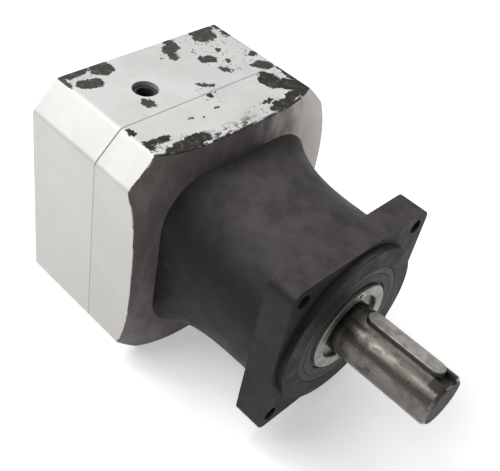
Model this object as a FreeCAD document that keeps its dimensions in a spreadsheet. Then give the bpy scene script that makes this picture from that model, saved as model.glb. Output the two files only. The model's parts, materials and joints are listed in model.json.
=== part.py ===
"""Single-stage planetary servo gearbox, 140 mm output flange, 190 mm motor adapter.

Frame: X is the gearbox axis and points out of the output shaft, Z is up.
The origin is on the axis, in the mounting face of the output flange.
Every size is a cell of the sheet "size"; stations are distances along X.
"""

import FreeCAD, Part
import math
import os
import re

import Sketcher

FULL_TURN = 360
SAME = 0.01  # millimetres within which two places count as one
NECK_SECTIONS = 5
X_AXIS = FreeCAD.Vector(1, 0, 0)
Y_AXIS = FreeCAD.Vector(0, 1, 0)
ORIGIN = FreeCAD.Vector(0, 0, 0)
ALONG_X = FreeCAD.Rotation(Y_AXIS, 90)
KEY_END = "key_width / 2 + 0.0001"  # a hair over half the width, so that the arc has one clear middle

# Alias, value in millimetres, degrees or pieces, and what it is.
SIZES = [
    ("flange_half", 70, "half side of the square output flange"),
    ("flange_thickness", 22, "output flange, back to mounting face"),
    ("flange_corner", 9, "corner radius of the output flange"),
    ("flange_bolt_offset", 58.34, "flange hole from the axis, across and up (165 circle)"),
    ("flange_bolt_hole", 5.5, "radius of a flange hole"),
    ("pilot_radius", 65, "centring pilot"),
    ("pilot_height", 5, "pilot, proud of the mounting face"),
    ("body_half", 95, "half side of the square rear body"),
    ("body_corner", 20.5, "flat cut on each long corner of the body"),
    ("body_round", 6, "radius beside each corner flat"),
    ("joint_depth", 159.3, "mounting face to the housing and adapter joint"),
    ("rear_depth", 229.1, "mounting face to the motor face"),
    ("edge_break", 0.6, "small chamfer on machined edges"),
    ("neck_radius", 69.5, "neck at the flange"),
    ("neck_flat", 0.5, "flats below the round at the flange"),
    ("neck_rise", 17, "growth of the neck's corners from the flange to the shoulder"),
    ("neck_spread", 3, "growth of the neck's flats from the flange to the shoulder"),
    ("shoulder_depth", 115, "mounting face to the shoulder of the body"),
    ("shoulder_radius", 93, "radius at which the shoulder starts to fall back"),
    ("shoulder_arc", 42, "arc radius of the turned shoulder"),
    ("gear_bore", 62, "housing bore for ring gear, spacer and bearing plate"),
    ("gear_front", 70, "mounting face to the front of the ring gear"),
    ("gear_rear", 106, "mounting face to the rear of the ring gear"),
    ("carrier_bore", 55, "housing bore round the planet carrier"),
    ("bearing_outer", 47.5, "outer radius of the output bearings"),
    ("bearing_inner", 30, "bore radius of the output bearings"),
    ("front_seat", 5, "mounting face to the front bearing"),
    ("front_stop", 28, "mounting face to the front bearing shoulder"),
    ("rear_stop", 33, "mounting face to the rear bearing shoulder"),
    ("rear_seat", 56, "mounting face to the back of the rear bearing"),
    ("stop_radius", 42, "bore of the shoulder between the output bearings"),
    ("cover_bore", 50, "bore for the seal cover"),
    ("cover_inner", 44, "inner radius of the seal cover, outer of the seal"),
    ("seal_lip_outer", 38, "where the seal case drops to the lip"),
    ("nut_outer", 35.5, "outer radius of the bearing lock nut"),
    ("nut_inner", 27, "thread radius of the lock nut"),
    ("nut_face", 7.1, "lock nut front, proud of the mounting face"),
    ("nut_pin_circle", 31.3, "radius at which the two spanner holes lie"),
    ("nut_pin_hole", 1.8, "radius of a spanner hole"),
    ("shaft_radius", 20, "output shaft"),
    ("shaft_length", 87.4, "mounting face to the shaft end"),
    ("shaft_chamfer", 2.5, "shaft end chamfer"),
    ("thread_end", 4, "mounting face to the front of the threaded part"),
    ("collar_radius", 36, "shoulder that stops the rear bearing"),
    ("carrier_radius", 50, "planet carrier"),
    ("carrier_front", 58, "mounting face to the carrier"),
    ("carrier_rear", 117, "mounting face to the back of the carrier"),
    ("carrier_core", 17, "carrier bore round the sun gear"),
    ("pocket_radius", 23.5, "pocket for one planet gear"),
    ("pocket_front", 69.5, "mounting face to the front of a planet pocket"),
    ("pocket_rear", 106.5, "mounting face to the back of a planet pocket"),
    ("pin_radius", 9, "planet pin"),
    ("pin_front", 60, "mounting face to the front of a planet pin"),
    ("pin_rear", 116, "mounting face to the back of a planet pin"),
    ("key_width", 12, "shaft key and keyway"),
    ("key_height", 8, "shaft key"),
    ("key_seat", 15, "axis to the keyway floor"),
    ("key_start", 16.4, "mounting face to the inner end of the key"),
    ("key_length", 63, "shaft key"),
    ("key_turn", 3.5, "turn of the keyway from straight up"),
    ("key_chamfer", 0.6, "chamfer round the top of the key"),
    ("planet_count", 3, "planet gears"),
    ("tooth_module", 1.5, "module of all gears"),
    ("sun_teeth", 18, "teeth of the sun gear"),
    ("planet_teeth", 27, "teeth of a planet gear"),
    ("ring_teeth", 72, "teeth of the ring gear"),
    ("pressure_angle", 20, "pressure angle of all gears"),
    ("tooth_thinning", 0.12, "taken off each tooth at the pitch circle for backlash"),
    ("planet_front", 71, "mounting face to the front of a planet gear"),
    ("planet_rear", 105, "mounting face to the back of a planet gear"),
    ("planet_bore", 13, "bore radius of a planet gear"),
    ("washer_thickness", 1.2, "thrust washer beside a planet gear"),
    ("washer_radius", 15, "thrust washer"),
    ("needle_radius", 1.95, "needle roller"),
    ("needle_length", 31, "needle roller"),
    ("needle_count", 15, "needle rollers in one planet gear"),
    ("sun_front", 70.5, "mounting face to the front of the sun gear"),
    ("sun_rear", 105.5, "mounting face to the back of the sun teeth"),
    ("stem_radius", 11, "stem of the sun gear"),
    ("stem_rear", 141, "mounting face to the end of the sun stem"),
    ("spacer_inner", 57, "inner radius of the ring gear spacer"),
    ("plate_front", 122, "mounting face to the front of the bearing plate"),
    ("plate_rear", 154, "mounting face to the back of the bearing plate"),
    ("plate_lip", 41, "inner radius of the bearing plate lip"),
    ("ball_bearing_front", 125, "mounting face to the front of the input bearing"),
    ("ball_bearing_rear", 143, "mounting face to the back of the input bearing"),
    ("ball_bearing_outer", 45, "outer radius of the input bearing"),
    ("ball_bearing_inner", 27.5, "bore radius of the input bearing"),
    ("ball_radius", 5.9, "ball of the input bearing"),
    ("ball_circle", 36.25, "radius of the ball circle"),
    ("ball_count", 12, "balls in the input bearing"),
    ("race_gap", 0.06, "running clearance between rolling parts and races"),
    ("race_land", 3.2, "race land, below or above the ball circle"),
    ("seal_front", 144.5, "mounting face to the front of the input seal"),
    ("seal_rear", 152.5, "mounting face to the back of the input seal"),
    ("seal_gap", 0.08, "clearance between seal lips and shafts"),
    ("input_front", 121, "mounting face to the front of the input shaft"),
    ("input_seal_radius", 32, "input shaft under the seal"),
    ("hub_front", 168, "mounting face to the front of the clamping hub"),
    ("hub_rear", 212, "mounting face to the back of the clamping hub"),
    ("hub_radius", 44, "clamping hub"),
    ("motor_bore", 19, "bore for the motor shaft"),
    ("motor_bore_front", 147, "mounting face to the end of the motor bore"),
    ("slit_width", 2, "clamping slit"),
    ("slit_front", 171, "mounting face to the front of the slit"),
    ("clamp_depth", 186.5, "mounting face to the clamping screw"),
    ("clamp_offset", 31.5, "axis to the clamping screw, sideways"),
    ("clamp_seat", 14, "axis to the seat of the screw head"),
    ("clamp_screw_radius", 6, "thread of the clamping screw"),
    ("clamp_head_radius", 9, "head of the clamping screw"),
    ("clamp_screw_length", 36, "clamping screw under the head"),
    ("circlip_radius", 30.5, "outer radius of the input circlip"),
    ("circlip_groove", 26, "groove radius of the input circlip"),
    ("circlip_thickness", 2, "input circlip"),
    ("spigot_inner", 40, "inner radius of the adapter spigot"),
    ("adapter_cavity", 52, "cavity radius round the clamping hub"),
    ("adapter_wall", 165, "mounting face to the back of the adapter front wall"),
    ("motor_pilot", 90, "radius of the recess for the motor pilot"),
    ("motor_pilot_depth", 6.1, "depth of the recess for the motor pilot"),
    ("motor_bolt_offset", 76, "motor hole from the axis, across and up (215 circle)"),
    ("motor_bolt_hole", 6, "radius of a motor bolt thread"),
    ("motor_bolt_depth", 26, "depth of a motor bolt thread"),
    ("access_radius", 6.3, "hole for the clamping screw wrench"),
    ("access_mouth", 9.6, "mouth of the wrench hole"),
    ("access_sink", 3.3, "depth of the mouth"),
    ("tie_circle", 76, "radius at which the adapter screws lie"),
    ("tie_count", 8, "adapter screws"),
    ("tie_radius", 4, "adapter screw"),
    ("tie_clear", 4.5, "clearance hole of an adapter screw"),
    ("tie_head", 6.5, "head radius of an adapter screw"),
    ("tie_counterbore", 7.2, "counterbore of an adapter screw"),
    ("tie_seat", 170, "mounting face to the seat of the screw heads"),
    ("tie_end", 141, "mounting face to the tips of the adapter screws"),
    ("gasket_radius", 66.5, "middle of the O-ring between housing and adapter"),
    ("gasket_section", 1.25, "section radius of the O-ring"),
    ("gasket_room", 0.2, "room on each side of the O-ring in its groove"),
    ("cage_half", 0.8, "half the wall of a taper bearing cage"),
    ("cage_overhang", 2, "cage beyond the ends of its taper rollers"),
    ("cage_play", 0.1, "play of a roller or ball in its cage window"),
    ("ball_cage_half", 1.2, "half the wall of the ball cage"),
    ("ball_cage_reach", 6.49, "ball cage to each side of the ball middles"),
    ("lip_thickness", 3, "lip of a shaft seal, along the axis"),
    ("lip_slope", 0.6, "slope from a seal case down to its lip"),
    ("input_lip_outer", 38, "where the input seal case drops to the lip"),
    ("socket_floor", 0.45, "share of a screw head left solid under its socket"),
    ("tie_socket", 3.4, "corner radius of the hexagon socket of an adapter screw"),
    ("clamp_socket", 5.7, "corner radius of the hexagon socket of the clamping screw"),
    ("core_floor", 66, "mounting face to the bottom of the carrier core"),
    ("nut_pin_depth", 5, "depth of a spanner hole"),
    ("hub_groove", 2, "step in front of the clamping hub"),
    ("root_depth", 1.25, "depth of a tooth root below the pitch circle, in modules"),
    ("roller_count", 22, "taper rollers in one output bearing"),
    ("roller_length", 15, "taper roller"),
    ("roller_angle", 13.67, "angle between a taper roller and the gearbox axis"),
    ("roller_mean", 3.95, "mean radius of a taper roller"),
    ("roller_half_angle", 1.33, "half the cone angle of a taper roller"),
    ("roller_taper", 0.02322, "radius that a taper roller gains per millimetre"),
    ("roller_circle", 39.5, "radius at which the roller middles lie"),
]

doc = FreeCAD.newDocument("planetary_gearbox")
sheet = doc.addObject("Spreadsheet::Sheet", "size")


def fill_sheet():
    """Write each size into its own row and name its cell."""
    for row, (alias, number, meaning) in enumerate(SIZES, start=1):
        sheet.set(f"A{row}", meaning)
        sheet.set(f"B{row}", str(number))
        sheet.setAlias(f"B{row}", alias)
    doc.recompute()


def size(alias):
    """A number read from the sheet."""
    return float(sheet.get(alias))


def bound(text):
    """The expression for a property, with every alias read from the sheet."""
    return re.sub(r"[a-z]+_[a-z_]+", r"size.\g<0>", text)


def amount(text):
    """The present value of an expression."""
    return float(sheet.evalExpression(bound(text)))


def bind(item, **expressions):
    """Tie properties of a document object to the sheet."""
    for name, text in expressions.items():
        item.setExpression(name, bound(text))


# ---------------------------------------------------------------- sketches and bodies


def new_body(label):
    body = doc.addObject("PartDesign::Body", label)
    body.Label = label
    return body


def plane_of(body, role):
    return next(f for f in body.Origin.OriginFeatures if f.Role == role)


def new_sketch(body, name, role, station="0"):
    """An empty sketch on an origin plane, moved along the plane's normal."""
    sketch = body.newObject("Sketcher::SketchObject", name)
    sketch.AttachmentSupport = [(plane_of(body, role), "")]
    sketch.MapMode = "FlatFace"
    sketch.setExpression("AttachmentOffset.Base.z", bound(station))
    return sketch


def pin_value(sketch, kind, where, text):
    """A dimension on a sketch, tied to the sheet."""
    index = sketch.addConstraint(Sketcher.Constraint(kind, *where, amount(text)))
    sketch.setExpression(f"Constraints[{index}]", bound(text))


def draw_arc(sketch, start, end, radius, bulge):
    """An arc from start to end; bulge +1 turns left and -1 turns right. Says if it is reversed."""
    chord = end - start
    middle = (start + end) * 0.5
    left = FreeCAD.Vector(-chord.y, chord.x, 0).normalize()
    height = math.sqrt(radius**2 - (chord.Length / 2) ** 2)
    centre = middle + left * (height * bulge)
    first, last = (start, end) if bulge > 0 else (end, start)
    angles = [math.atan2(p.y - centre.y, p.x - centre.x) for p in (first, last)]
    circle = Part.Circle(centre, FreeCAD.Vector(0, 0, 1), radius)
    sketch.addGeometry(Part.ArcOfCircle(circle, *angles), False)
    return bulge < 0


def draw_outline(sketch, corners):
    """A closed outline. A corner is (across, up), or (across, up, radius, bulge) to leave it on an arc."""
    points = [FreeCAD.Vector(amount(c[0]), amount(c[1]), 0) for c in corners]
    ends = []
    base = len(sketch.Geometry)
    for i, corner in enumerate(corners):
        start, end = points[i], points[(i + 1) % len(points)]
        reverse = False
        if len(corner) == 4:
            reverse = draw_arc(sketch, start, end, amount(corner[2]), corner[3])
            pin_value(sketch, "Radius", (base + i,), corner[2])
        else:
            sketch.addGeometry(Part.LineSegment(start, end), False)
        ends.append((2, 1) if reverse else (1, 2))
    for i, corner in enumerate(corners):
        following = (i + 1) % len(corners)
        joint = (base + i, ends[i][1], base + following, ends[following][0])
        sketch.addConstraint(Sketcher.Constraint("Coincident", *joint))
        pin_value(sketch, "DistanceX", (base + i, ends[i][0]), corner[0])
        pin_value(sketch, "DistanceY", (base + i, ends[i][0]), corner[1])


def draw_circle(sketch, across, up, radius):
    """A circle whose middle and radius are tied to the sheet."""
    middle = FreeCAD.Vector(amount(across), amount(up), 0)
    index = sketch.addGeometry(Part.Circle(middle, FreeCAD.Vector(0, 0, 1), amount(radius)), False)
    pin_value(sketch, "DistanceX", (index, 3), across)
    pin_value(sketch, "DistanceY", (index, 3), up)
    pin_value(sketch, "Radius", (index,), radius)


def turn(body, name, corners, kind="PartDesign::Revolution"):
    """Turn an outline of (along X, radius) corners once round the gearbox axis."""
    sketch = new_sketch(body, f"{name}_outline", "XZ_Plane")
    draw_outline(sketch, corners)
    feature = body.newObject(kind, name)
    feature.Profile = sketch
    feature.ReferenceAxis = (sketch, ["H_Axis"])
    feature.Angle = FULL_TURN
    doc.recompute()
    return feature


def turn_away(body, name, corners):
    """Turn an outline round the axis and take it away from the body."""
    return turn(body, name, corners, "PartDesign::Groove")


def pad(body, name, sketch, length):
    """Add a prism in front of a sketch."""
    feature = body.newObject("PartDesign::Pad", name)
    feature.Profile = sketch
    bind(feature, Length=length)
    doc.recompute()
    return feature


def pocket(body, name, sketch, length, backwards=False):
    """Take a prism away behind a sketch, or in front of it."""
    before = body.Shape.Volume
    feature = body.newObject("PartDesign::Pocket", name)
    feature.Profile = sketch
    feature.Reversed = backwards
    bind(feature, Length=length)
    doc.recompute()
    if not body.Shape.Volume < before:
        raise ValueError(f"{name} takes nothing away from {body.Label}")
    return feature


def pattern(body, name, feature, count):
    """Repeat a feature round the gearbox axis."""
    copies = body.newObject("PartDesign::PolarPattern", name)
    copies.Originals = [feature]
    copies.Axis = (plane_of(body, "X_Axis"), [""])
    copies.Angle = FULL_TURN
    bind(copies, Occurrences=count)
    body.Tip = copies
    doc.recompute()
    return copies


def dress(body, name, kind, chosen, **sizes):
    """A fillet or chamfer on the edges that pass a test."""
    base = body.Tip
    edges = [f"Edge{i}" for i, edge in enumerate(base.Shape.Edges, start=1) if chosen(edge)]
    feature = body.newObject(kind, name)
    feature.Base = (base, edges)
    bind(feature, **sizes)
    doc.recompute()
    return feature


def edge_at(edge, station):
    """True for an edge that lies in the plane across the axis at a station."""
    box = edge.BoundBox
    return abs(box.XMin - station) < SAME and abs(box.XMax - station) < SAME


def along_axis(edge, least):
    """True for an edge parallel to the gearbox axis and longer than least."""
    box = edge.BoundBox
    return edge.Length > least and max(box.YLength, box.ZLength) < SAME


def from_axis(edge):
    """Distance from the gearbox axis to the middle of an edge."""
    return math.hypot(edge.CenterOfMass.y, edge.CenterOfMass.z)


def ring(label, front, rear, outer, inner):
    """A plain ring round the gearbox axis, from one station to another."""
    body = new_body(label)
    corners = [(f"-({rear})", inner), (f"-({rear})", outer), (f"-({front})", outer), (f"-({front})", inner)]
    turn(body, f"{label}_ring", corners)
    return body


def octagon(half, cut):
    """Corners of a square whose four corners are cut flat."""
    near, far = f"{half} - {cut}", half
    quarter = [(near, far), (far, near)]
    corners = []
    for across, up in ((1, 1), (1, -1), (-1, -1), (-1, 1)):
        pair = quarter if across * up > 0 else quarter[::-1]
        corners += [(f"{across} * ({a})", f"{up} * ({b})") for a, b in pair]
    return corners


# ---------------------------------------------------------------- gears


def involute(base_radius, radius):
    """Polar angle that an involute has turned when it reaches a radius."""
    steep = math.sqrt(max(0.0, (radius / base_radius) ** 2 - 1))
    return steep - math.atan(steep)


def at_polar(radius, angle):
    """A point in the plane across the axis; angle 0 is straight up."""
    return FreeCAD.Vector(0, -radius * math.sin(angle), radius * math.cos(angle))


def gear_outline(teeth, tip_gain, root_drop, thinning):
    """The outline of a spur gear with a tooth pointing straight up, flanks as arcs on the involute."""
    module = size("tooth_module")
    pitch = module * teeth / 2
    base = pitch * math.cos(math.radians(size("pressure_angle")))
    tip = pitch + tip_gain
    root = pitch - root_drop
    half_tooth = (math.pi * module / 2 - thinning) / (2 * pitch)
    start = max(root, base)

    def flank(radius):
        return half_tooth + involute(base, pitch) - involute(base, radius)

    edges = []
    step = 2 * math.pi / teeth
    for i in range(teeth):
        turn_by = i * step
        radii = (start, (start + tip) / 2, tip)
        rising = [at_polar(r, turn_by - flank(r)) for r in radii]
        falling = [at_polar(r, turn_by + flank(r)) for r in radii]
        foot = at_polar(root, turn_by - flank(start))
        heel = at_polar(root, turn_by + flank(start))
        next_foot = at_polar(root, turn_by + step - flank(start))
        if start > root:
            edges.append(Part.LineSegment(foot, rising[0]).toShape())
        edges.append(Part.Arc(*rising).toShape())
        edges.append(Part.Arc(rising[2], at_polar(tip, turn_by), falling[2]).toShape())
        edges.append(Part.Arc(*reversed(falling)).toShape())
        if start > root:
            edges.append(Part.LineSegment(falling[0], heel).toShape())
        edges.append(Part.Arc(heel, at_polar(root, turn_by + step / 2), next_foot).toShape())
    return Part.Wire(edges)


def disc(radius, front, rear):
    """A cylinder on the axis between two stations."""
    start = FreeCAD.Vector(-rear, 0, 0)
    return Part.makeCylinder(radius, rear - front, start, X_AXIS)


def toothed(outline, front, rear):
    """A gear outline pulled along the axis between two stations."""
    face = Part.Face(outline)
    face.translate(FreeCAD.Vector(-rear, 0, 0))
    return face.extrude(FreeCAD.Vector(rear - front, 0, 0))


def place_shape(label, shape, placement=FreeCAD.Placement()):
    """A sub-part whose shape is set by the functions above."""
    item = doc.addObject("Part::Feature", label)
    item.Label = label
    item.Shape = shape
    item.Placement = placement
    return item


def sun_gear():
    module = size("tooth_module")
    teeth = int(size("sun_teeth"))
    outline = gear_outline(teeth, module, size("root_depth") * module, size("tooth_thinning"))
    gear = toothed(outline, size("sun_front"), size("sun_rear"))
    stem = disc(size("stem_radius"), size("sun_rear"), size("stem_rear"))
    return place_shape("sun_gear", gear.fuse(stem).removeSplitter())


def planet_gear(index, angle):
    """One planet gear, turned on its pin so that it shows the sun a gap between two teeth."""
    module = size("tooth_module")
    teeth = int(size("planet_teeth"))
    outline = gear_outline(teeth, module, size("root_depth") * module, size("tooth_thinning"))
    gear = toothed(outline, size("planet_front"), size("planet_rear"))
    gear = gear.cut(disc(size("planet_bore"), size("gear_front"), size("gear_rear")))
    centre = at_polar(planet_circle(), math.radians(angle))
    to_gap = 0 if teeth % 2 else FULL_TURN / teeth / 2
    turned = FreeCAD.Rotation(X_AXIS, angle + to_gap)
    return place_shape(f"planet_gear_{index}", gear, FreeCAD.Placement(centre, turned))


def ring_gear():
    """The fixed ring; its tooth gaps are the outline of a gear with fuller teeth."""
    module = size("tooth_module")
    teeth = int(size("ring_teeth"))
    outline = gear_outline(teeth, size("root_depth") * module, module, -size("tooth_thinning"))
    gaps = toothed(outline, size("gear_front"), size("gear_rear"))
    blank = disc(size("gear_bore"), size("gear_front"), size("gear_rear"))
    return place_shape("ring_gear", blank.cut(gaps))


def planet_circle():
    """Distance from the gearbox axis to a planet pin."""
    return size("tooth_module") * (size("sun_teeth") + size("planet_teeth")) / 2


def planet_angles():
    count = int(size("planet_count"))
    return [FULL_TURN / count * i for i in range(count)]


# ---------------------------------------------------------------- housing side


def rounded_square(half, straight):
    """A square with round corners; straight is half the length left flat on each side."""
    corner = f"{half} - {straight}"
    outline = []
    for across, up in ((1, 1), (-1, 1), (-1, -1), (1, -1)):
        on_side = (f"{across} * {half}", f"{up} * {straight}")
        on_top = (f"{across} * {straight}", f"{up} * {half}")
        first, last = (on_side, on_top) if across == up else (on_top, on_side)
        outline += [(*first, corner, 1), last]
    return outline


def neck_section(body, index, share):
    """The neck's outline at a share of its length, from 0 inside the flange to 1 at the shoulder."""
    station = f"-(flange_thickness - 1) - {share} * (shoulder_depth - flange_thickness + 1)"
    growth = f"{share} ^ 4"
    reach = f"(neck_radius + {growth} * neck_rise)"
    half = f"(neck_radius - neck_flat + {growth} * neck_spread)"
    straight = f"(({reach} - {half}) * (1 + sqrt(2)))"
    sketch = new_sketch(body, f"neck_section_{index}", "YZ_Plane", station)
    draw_outline(sketch, rounded_square(half, straight))
    return sketch


def flare_neck(body):
    """The neck: almost round at the flange, and a rounded square where it meets the shoulder."""
    last = NECK_SECTIONS - 1
    sections = [neck_section(body, i, i / last) for i in reversed(range(NECK_SECTIONS))]
    feature = body.newObject("PartDesign::AdditiveLoft", "neck_flare")
    feature.Profile = sections[0]
    feature.Sections = sections[1:]
    doc.recompute()


def housing():
    body = new_body("housing")
    square = new_sketch(body, "body_square", "YZ_Plane", "-joint_depth")
    draw_outline(square, octagon("body_half", "body_corner"))
    pad(body, "body_block", square, "joint_depth - shoulder_depth")
    body_length = amount("joint_depth - shoulder_depth")
    dress(body, "body_rounds", "PartDesign::Fillet",
          lambda edge: along_axis(edge, body_length - SAME), Radius="body_round")
    fall = "(shoulder_depth + shoulder_arc * (1 - cos(45)))"
    reach = "(shoulder_radius + shoulder_arc * sin(45))"
    turn_away(body, "shoulder_turning", [
        ("-shoulder_depth", "shoulder_radius", "shoulder_arc", 1),
        (f"-{fall}", reach),
        (f"-{fall}", "body_half * 1.5"),
        ("-shoulder_depth + 1", "body_half * 1.5"),
        ("-shoulder_depth + 1", "shoulder_radius"),
    ])
    flare_neck(body)
    turn(body, "pilot", [
        ("-flange_thickness + 1", "0"),
        ("-flange_thickness + 1", "pilot_radius"),
        ("pilot_height - edge_break", "pilot_radius"),
        ("pilot_height", "pilot_radius - edge_break"),
        ("pilot_height", "0"),
    ])
    flange = new_sketch(body, "flange_square", "YZ_Plane", "-flange_thickness")
    draw_outline(flange, [("flange_half", "flange_half"), ("flange_half", "-flange_half"),
                          ("-flange_half", "-flange_half"), ("-flange_half", "flange_half")])
    pad(body, "flange", flange, "flange_thickness")
    thickness = size("flange_thickness")
    dress(body, "flange_rounds", "PartDesign::Fillet",
          lambda edge: along_axis(edge, thickness - SAME) and edge.BoundBox.XMax < SAME,
          Radius="flange_corner")
    turn_away(body, "bores", [
        ("-joint_depth - 1", "0"),
        ("-joint_depth - 1", "gear_bore"),
        ("-gear_front", "gear_bore"),
        ("-gear_front", "carrier_bore"),
        ("-carrier_front + 1", "carrier_bore"),
        ("-carrier_front + 1", "bearing_outer"),
        ("-rear_stop", "bearing_outer"),
        ("-rear_stop", "stop_radius"),
        ("-front_stop", "stop_radius"),
        ("-front_stop", "bearing_outer"),
        ("-front_seat", "bearing_outer"),
        ("-front_seat", "cover_bore"),
        ("pilot_height + 1", "cover_bore"),
        ("pilot_height + 1", "0"),
    ])
    holes = new_sketch(body, "flange_hole", "YZ_Plane", "0")
    draw_circle(holes, "flange_bolt_offset", "flange_bolt_offset", "flange_bolt_hole")
    hole = pocket(body, "flange_hole_cut", holes, "flange_thickness + 1")
    pattern(body, "flange_holes", hole, "4")
    threads = new_sketch(body, "tie_thread", "YZ_Plane", "-joint_depth")
    draw_circle(threads, "0", "tie_circle", "tie_radius")
    thread = pocket(body, "tie_thread_cut", threads, "joint_depth - tie_end + 2", backwards=True)
    pattern(body, "tie_threads", thread, "tie_count")
    rear = -size("joint_depth")
    dress(body, "joint_edges", "PartDesign::Chamfer",
          lambda edge: edge_at(edge, rear) and from_axis(edge) > size("body_half") - 1, Size="edge_break")
    return body


def adapter_plate():
    body = new_body("adapter_plate")
    square = new_sketch(body, "adapter_square", "YZ_Plane", "-rear_depth")
    draw_outline(square, octagon("body_half", "body_corner"))
    pad(body, "adapter_block", square, "rear_depth - joint_depth")
    faces = [-size("rear_depth"), -size("joint_depth")]
    dress(body, "adapter_rounds", "PartDesign::Fillet",
          lambda edge: along_axis(edge, faces[1] - faces[0] - SAME), Radius="body_round")
    dress(body, "adapter_edges", "PartDesign::Chamfer",
          lambda edge: any(edge_at(edge, face) for face in faces), Size="edge_break")
    turn(body, "spigot", [
        ("-joint_depth - 1", "0"),
        ("-joint_depth - 1", "gear_bore"),
        ("-plate_rear", "gear_bore"),
        ("-plate_rear", "0"),
    ])
    turn_away(body, "adapter_bores", [
        ("-rear_depth - 1", "0"),
        ("-rear_depth - 1", "motor_pilot"),
        ("-rear_depth + motor_pilot_depth", "motor_pilot"),
        ("-rear_depth + motor_pilot_depth", "adapter_cavity"),
        ("-adapter_wall", "adapter_cavity"),
        ("-adapter_wall", "spigot_inner"),
        ("-plate_rear + 1", "spigot_inner"),
        ("-plate_rear + 1", "0"),
    ])
    turn_away(body, "gasket_groove", [
        ("-joint_depth - 2 * gasket_section", "gasket_radius - gasket_section - gasket_room"),
        ("-joint_depth - 2 * gasket_section", "gasket_radius + gasket_section + gasket_room"),
        ("-joint_depth + 1", "gasket_radius + gasket_section + gasket_room"),
        ("-joint_depth + 1", "gasket_radius - gasket_section - gasket_room"),
    ])
    motor_holes = new_sketch(body, "motor_hole", "YZ_Plane", "-rear_depth")
    draw_circle(motor_holes, "motor_bolt_offset", "motor_bolt_offset", "motor_bolt_hole")
    hole = pocket(body, "motor_hole_cut", motor_holes, "motor_bolt_depth", backwards=True)
    pattern(body, "motor_holes", hole, "4")
    ties = new_sketch(body, "tie_hole", "YZ_Plane", "-rear_depth")
    draw_circle(ties, "0", "tie_circle", "tie_clear")
    clear = pocket(body, "tie_hole_cut", ties, "rear_depth - joint_depth + 1", backwards=True)
    pattern(body, "tie_holes", clear, "tie_count")
    heads = new_sketch(body, "tie_counterbore_circle", "YZ_Plane", "-rear_depth")
    draw_circle(heads, "0", "tie_circle", "tie_counterbore")
    sunk = pocket(body, "tie_counterbore_cut", heads, "rear_depth - tie_seat", backwards=True)
    pattern(body, "tie_counterbores", sunk, "tie_count")
    access = new_sketch(body, "access_circle", "XY_Plane", "body_half")
    draw_circle(access, "-clamp_depth", "-clamp_offset", "access_radius")
    pocket(body, "access_hole", access, "body_half")
    mouth = new_sketch(body, "access_mouth_circle", "XY_Plane", "body_half")
    draw_circle(mouth, "-clamp_depth", "-clamp_offset", "access_mouth")
    pocket(body, "access_hole_mouth", mouth, "access_sink")
    return body


def screw(name, head_radius, head_height, shank_radius, shank_length, socket):
    """A socket-head screw that points along -Z, its head seated on the plane Z = 0."""
    head = doc.addObject("Part::Cylinder", f"{name}_head")
    bind(head, Radius=head_radius, Height=head_height)
    shank = doc.addObject("Part::Cylinder", f"{name}_shank")
    bind(shank, Radius=shank_radius, Height=f"{shank_length} + 1")
    shank.setExpression("Placement.Base.z", bound(f"-({shank_length})"))
    solid = doc.addObject("Part::Fuse", f"{name}_solid")
    solid.Base, solid.Tool = head, shank
    hexagon = doc.addObject("Part::Prism", f"{name}_hexagon")
    hexagon.Polygon = 6
    bind(hexagon, Circumradius=socket, Height=head_height)
    hexagon.setExpression("Placement.Base.z", bound(f"{head_height} * socket_floor"))
    result = doc.addObject("Part::Cut", f"{name}_screw")
    result.Base, result.Tool = solid, hexagon
    return result


def round_axis(base, index, count):
    """Placement that turns a placed piece to its place in a ring of equal pieces."""
    turned = FreeCAD.Rotation(X_AXIS, FULL_TURN / count * index)
    return FreeCAD.Placement(ORIGIN, turned).multiply(base)


def group(label, members):
    """Identical pieces that share one node, each a solid of its own."""
    item = doc.addObject("Part::Compound", label)
    item.Label = label
    item.Links = members
    return item


def adapter_screws():
    count = int(size("tie_count"))
    points_forward = ALONG_X.inverted()
    seat = FreeCAD.Vector(-size("tie_seat"), 0, size("tie_circle"))
    screws = []
    for i in range(count):
        one = screw(f"tie_{i}", "tie_head", "2 * tie_radius", "tie_radius", "tie_seat - tie_end",
                    "tie_socket")
        one.Placement = round_axis(FreeCAD.Placement(seat, points_forward), i, count)
        screws.append(one)
    return group("adapter_screws", screws)


def adapter_o_ring():
    item = doc.addObject("Part::Torus", "adapter_o_ring")
    item.Label = "adapter_o_ring"
    bind(item, Radius1="gasket_radius", Radius2="gasket_section")
    item.Placement = FreeCAD.Placement(ORIGIN, ALONG_X)
    item.setExpression("Placement.Base.x", bound("-joint_depth - gasket_section"))
    return item


def input_bearing_plate():
    body = new_body("input_bearing_plate")
    turn(body, "plate", [
        ("-plate_rear", "ball_bearing_outer"),
        ("-plate_rear", "gear_bore"),
        ("-plate_front", "gear_bore"),
        ("-plate_front", "plate_lip"),
        ("-ball_bearing_front", "plate_lip"),
        ("-ball_bearing_front", "ball_bearing_outer"),
    ])
    return body


def shaft_seal(label, front, rear, outer, case_inner, lip_inner, face_drop):
    """A shaft seal: stiff outer case, then a thinner lip that reaches the shaft."""
    body = new_body(label)
    turn(body, f"{label}_ring", [
        (f"-({rear})", case_inner),
        (f"-({rear})", outer),
        (f"-({front})", outer),
        (f"-({front})", case_inner),
        (f"-({front}) - {face_drop}", f"{case_inner} - lip_slope"),
        (f"-({front}) - {face_drop}", lip_inner),
        (f"-({front}) - {face_drop} - lip_thickness", lip_inner),
        (f"-({front}) - {face_drop} - lip_thickness", case_inner),
    ])
    return body


def seal_cover():
    body = new_body("seal_cover")
    turn(body, "seal_cover_ring", [
        ("-front_seat", "cover_inner"),
        ("-front_seat", "cover_bore"),
        ("pilot_height - edge_break", "cover_bore"),
        ("pilot_height", "cover_bore - edge_break"),
        ("pilot_height", "cover_inner + edge_break"),
        ("pilot_height - edge_break", "cover_inner"),
    ])
    return body


# ---------------------------------------------------------------- bearings


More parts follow.
